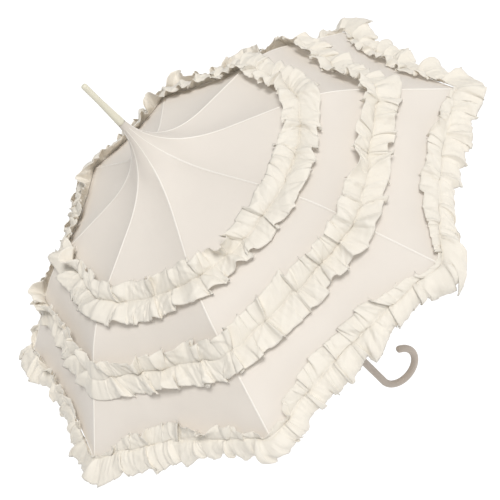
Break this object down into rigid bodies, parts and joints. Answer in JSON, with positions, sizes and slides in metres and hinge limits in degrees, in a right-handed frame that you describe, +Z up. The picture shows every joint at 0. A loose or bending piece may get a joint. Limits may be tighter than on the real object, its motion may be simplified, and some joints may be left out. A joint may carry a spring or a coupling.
{
  "type": "frilled pagoda parasol",
  "caption": "Open stick parasol with a peaked eight-panel cloth canopy, tiers of gathered frill, a slender spike and a crook handle; runner folds the ribs and stretchers.",
  "frame": {"origin": "middle of the straight grip of the crook handle, on the shaft's axis", "axes": "+Z up the shaft towards the spike, +X the way the crook opens"},
  "size_m": [0.8528, 0.8528, 0.9235],
  "materials": {
    "shaft_metal": "satin",
    "wire": "satin",
    "steel_rib": "satin",
    "cream_plastic": "gloss",
    "fitting_plastic": "satin",
    "handle_plastic": "matte",
    "canopy_cloth": "matte",
    "frill_cloth": "matte"
  },
  "bodies": {
    "frame": {"shaft": "shaft_metal", "spike": "cream_plastic", "top_notch": "fitting_plastic", "notch_wire": "wire", "crown_neck": "canopy_cloth", "handle": "handle_plastic"},
    "runner": {"runner": "fitting_plastic", "runner_wire": "wire"},
    "top_catch": {"top_catch": "wire"},
    "bottom_catch": {"bottom_catch": "wire"},
    "rib_1": {"rib_1": "steel_rib", "rib_fittings_1": "wire", "canopy_panel_1": "canopy_cloth", "frill_set_1": "frill_cloth"},
    "stretcher_1": {"stretcher_1": "steel_rib"},
    "crown_cloth_1": {"crown_cloth_1": "canopy_cloth"},
    "rib_2": {"rib_2": "steel_rib", "rib_fittings_2": "wire", "canopy_panel_2": "canopy_cloth", "frill_set_2": "frill_cloth"},
    "stretcher_2": {"stretcher_2": "steel_rib"},
    "crown_cloth_2": {"crown_cloth_2": "canopy_cloth"},
    "rib_3": {"rib_3": "steel_rib", "rib_fittings_3": "wire", "canopy_panel_3": "canopy_cloth", "frill_set_3": "frill_cloth"},
    "stretcher_3": {"stretcher_3": "steel_rib"},
    "crown_cloth_3": {"crown_cloth_3": "canopy_cloth"},
    "rib_4": {"rib_4": "steel_rib", "rib_fittings_4": "wire", "canopy_panel_4": "canopy_cloth", "frill_set_4": "frill_cloth"},
    "stretcher_4": {"stretcher_4": "steel_rib"},
    "crown_cloth_4": {"crown_cloth_4": "canopy_cloth"},
    "rib_5": {"rib_5": "steel_rib", "rib_fittings_5": "wire", "canopy_panel_5": "canopy_cloth", "frill_set_5": "frill_cloth"},
    "stretcher_5": {"stretcher_5": "steel_rib"},
    "crown_cloth_5": {"crown_cloth_5": "canopy_cloth"},
    "rib_6": {"rib_6": "steel_rib", "rib_fittings_6": "wire", "canopy_panel_6": "canopy_cloth", "frill_set_6": "frill_cloth"},
    "stretcher_6": {"stretcher_6": "steel_rib"},
    "crown_cloth_6": {"crown_cloth_6": "canopy_cloth"},
    "rib_7": {"rib_7": "steel_rib", "rib_fittings_7": "wire", "canopy_panel_7": "canopy_cloth", "frill_set_7": "frill_cloth"},
    "stretcher_7": {"stretcher_7": "steel_rib"},
    "crown_cloth_7": {"crown_cloth_7": "canopy_cloth"},
    "rib_8": {"rib_8": "steel_rib", "rib_fittings_8": "wire", "canopy_panel_8": "canopy_cloth", "frill_set_8": "frill_cloth"},
    "stretcher_8": {"stretcher_8": "steel_rib"},
    "crown_cloth_8": {"crown_cloth_8": "canopy_cloth"}
  },
  "joints": [
    {"name": "runner_slide", "type": "slide", "parent": "frame", "child": "runner", "axis": [0, 0, -1], "range_m": [0, 0.25091], "deforming": ["crown_cloth_1", "canopy_panel_1", "frill_set_1", "crown_cloth_2", "canopy_panel_2", "frill_set_2", "crown_cloth_3", "canopy_panel_3", "frill_set_3", "crown_cloth_4", "canopy_panel_4", "frill_set_4", "crown_cloth_5", "canopy_panel_5", "frill_set_5", "crown_cloth_6", "canopy_panel_6", "frill_set_6", "crown_cloth_7", "canopy_panel_7", "frill_set_7", "crown_cloth_8", "canopy_panel_8", "frill_set_8"]},
    {"name": "rib_hinge_1", "type": "hinge", "parent": "frame", "child": "rib_1", "pos_m": [0.00841, 0.00321, 0.64141], "axis": [-0.3567, 0.9342, 0], "range_deg": [0, 63.43]},
    {"name": "stretcher_hinge_1", "type": "hinge", "parent": "runner", "child": "stretcher_1", "pos_m": [0.00841, 0.00321, 0.48848], "axis": [0.3567, -0.9342, 0], "range_deg": [0, 51.38]},
    {"name": "crown_fold_1", "type": "hinge", "parent": "frame", "child": "crown_cloth_1", "pos_m": [0.02181, 0.00833, 0.67224], "axis": [-0.3567, 0.9342, 0], "range_deg": [0, 57.02]},
    {"name": "rib_hinge_2", "type": "hinge", "parent": "frame", "child": "rib_2", "pos_m": [0.00822, -0.00367, 0.64141], "axis": [0.4083, 0.9128, 0], "range_deg": [0, 63.43]},
    {"name": "stretcher_hinge_2", "type": "hinge", "parent": "runner", "child": "stretcher_2", "pos_m": [0.00822, -0.00367, 0.48848], "axis": [-0.4083, -0.9128, 0], "range_deg": [0, 51.38]},
    {"name": "crown_fold_2", "type": "hinge", "parent": "frame", "child": "crown_cloth_2", "pos_m": [0.02132, -0.00953, 0.67224], "axis": [0.4083, 0.9128, 0], "range_deg": [0, 57.02]},
    {"name": "rib_hinge_3", "type": "hinge", "parent": "frame", "child": "rib_3", "pos_m": [0.00321, -0.00841, 0.64141], "axis": [0.9342, 0.3567, 0], "range_deg": [0, 63.43]},
    {"name": "stretcher_hinge_3", "type": "hinge", "parent": "runner", "child": "stretcher_3", "pos_m": [0.00321, -0.00841, 0.48848], "axis": [-0.9342, -0.3567, 0], "range_deg": [0, 51.38]},
    {"name": "crown_fold_3", "type": "hinge", "parent": "frame", "child": "crown_cloth_3", "pos_m": [0.00833, -0.02181, 0.67224], "axis": [0.9342, 0.3567, 0], "range_deg": [0, 57.02]},
    {"name": "rib_hinge_4", "type": "hinge", "parent": "frame", "child": "rib_4", "pos_m": [-0.00367, -0.00822, 0.64141], "axis": [0.9128, -0.4083, 0], "range_deg": [0, 63.43]},
    {"name": "stretcher_hinge_4", "type": "hinge", "parent": "runner", "child": "stretcher_4", "pos_m": [-0.00367, -0.00822, 0.48848], "axis": [-0.9128, 0.4083, 0], "range_deg": [0, 51.38]},
    {"name": "crown_fold_4", "type": "hinge", "parent": "frame", "child": "crown_cloth_4", "pos_m": [-0.00953, -0.02132, 0.67224], "axis": [0.9128, -0.4083, 0], "range_deg": [0, 57.02]},
    {"name": "rib_hinge_5", "type": "hinge", "parent": "frame", "child": "rib_5", "pos_m": [-0.00841, -0.00321, 0.64141], "axis": [0.3567, -0.9342, 0], "range_deg": [0, 63.43]},
    {"name": "stretcher_hinge_5", "type": "hinge", "parent": "runner", "child": "stretcher_5", "pos_m": [-0.00841, -0.00321, 0.48848], "axis": [-0.3567, 0.9342, 0], "range_deg": [0, 51.38]},
    {"name": "crown_fold_5", "type": "hinge", "parent": "frame", "child": "crown_cloth_5", "pos_m": [-0.02181, -0.00833, 0.67224], "axis": [0.3567, -0.9342, 0], "range_deg": [0, 57.02]},
    {"name": "rib_hinge_6", "type": "hinge", "parent": "frame", "child": "rib_6", "pos_m": [-0.00822, 0.00367, 0.64141], "axis": [-0.4083, -0.9128, 0], "range_deg": [0, 63.43]},
    {"name": "stretcher_hinge_6", "type": "hinge", "parent": "runner", "child": "stretcher_6", "pos_m": [-0.00822, 0.00367, 0.48848], "axis": [0.4083, 0.9128, 0], "range_deg": [0, 51.38]},
    {"name": "crown_fold_6", "type": "hinge", "parent": "frame", "child": "crown_cloth_6", "pos_m": [-0.02132, 0.00953, 0.67224], "axis": [-0.4083, -0.9128, 0], "range_deg": [0, 57.02]},
    {"name": "rib_hinge_7", "type": "hinge", "parent": "frame", "child": "rib_7", "pos_m": [-0.00321, 0.00841, 0.64141], "axis": [-0.9342, -0.3567, 0], "range_deg": [0, 63.43]},
    {"name": "stretcher_hinge_7", "type": "hinge", "parent": "runner", "child": "stretcher_7", "pos_m": [-0.00321, 0.00841, 0.48848], "axis": [0.9342, 0.3567, 0], "range_deg": [0, 51.38]},
    {"name": "crown_fold_7", "type": "hinge", "parent": "frame", "child": "crown_cloth_7", "pos_m": [-0.00833, 0.02181, 0.67224], "axis": [-0.9342, -0.3567, 0], "range_deg": [0, 57.02]},
    {"name": "rib_hinge_8", "type": "hinge", "parent": "frame", "child": "rib_8", "pos_m": [0.00367, 0.00822, 0.64141], "axis": [-0.9128, 0.4083, 0], "range_deg": [0, 63.43]},
    {"name": "stretcher_hinge_8", "type": "hinge", "parent": "runner", "child": "stretcher_8", "pos_m": [0.00367, 0.00822, 0.48848], "axis": [0.9128, -0.4083, 0], "range_deg": [0, 51.38]},
    {"name": "crown_fold_8", "type": "hinge", "parent": "frame", "child": "crown_cloth_8", "pos_m": [0.00953, 0.02132, 0.67224], "axis": [-0.9128, 0.4083, 0], "range_deg": [0, 57.02]},
    {"name": "top_catch_press", "type": "slide", "parent": "frame", "child": "top_catch", "axis": [-0.9996, 0.0279, 0], "range_m": [0, 0.0018], "stiffness_N_per_m": 250, "springref_m": -0.0006},
    {"name": "bottom_catch_press", "type": "slide", "parent": "frame", "child": "bottom_catch", "axis": [-0.9996, 0.0279, 0], "range_m": [0, 0.0018], "stiffness_N_per_m": 250, "springref_m": -0.0006}
  ],
  "couplings": [
    {"joint": "rib_hinge_1", "follows": "runner_slide", "rad_per_m": 4.411},
    {"joint": "stretcher_hinge_1", "follows": "runner_slide", "rad_per_m": 3.5727},
    {"joint": "crown_fold_1", "follows": "runner_slide", "rad_per_m": 3.9649},
    {"joint": "rib_hinge_2", "follows": "runner_slide", "rad_per_m": 4.411},
    {"joint": "stretcher_hinge_2", "follows": "runner_slide", "rad_per_m": 3.5727},
    {"joint": "crown_fold_2", "follows": "runner_slide", "rad_per_m": 3.9649},
    {"joint": "rib_hinge_3", "follows": "runner_slide", "rad_per_m": 4.411},
    {"joint": "stretcher_hinge_3", "follows": "runner_slide", "rad_per_m": 3.5727},
    {"joint": "crown_fold_3", "follows": "runner_slide", "rad_per_m": 3.9649},
    {"joint": "rib_hinge_4", "follows": "runner_slide", "rad_per_m": 4.411},
    {"joint": "stretcher_hinge_4", "follows": "runner_slide", "rad_per_m": 3.5727},
    {"joint": "crown_fold_4", "follows": "runner_slide", "rad_per_m": 3.9649},
    {"joint": "rib_hinge_5", "follows": "runner_slide", "rad_per_m": 4.411},
    {"joint": "stretcher_hinge_5", "follows": "runner_slide", "rad_per_m": 3.5727},
    {"joint": "crown_fold_5", "follows": "runner_slide", "rad_per_m": 3.9649},
    {"joint": "rib_hinge_6", "follows": "runner_slide", "rad_per_m": 4.411},
    {"joint": "stretcher_hinge_6", "follows": "runner_slide", "rad_per_m": 3.5727},
    {"joint": "crown_fold_6", "follows": "runner_slide", "rad_per_m": 3.9649},
    {"joint": "rib_hinge_7", "follows": "runner_slide", "rad_per_m": 4.411},
    {"joint": "stretcher_hinge_7", "follows": "runner_slide", "rad_per_m": 3.5727},
    {"joint": "crown_fold_7", "follows": "runner_slide", "rad_per_m": 3.9649},
    {"joint": "rib_hinge_8", "follows": "runner_slide", "rad_per_m": 4.411},
    {"joint": "stretcher_hinge_8", "follows": "runner_slide", "rad_per_m": 3.5727},
    {"joint": "crown_fold_8", "follows": "runner_slide", "rad_per_m": 3.9649}
  ]
}
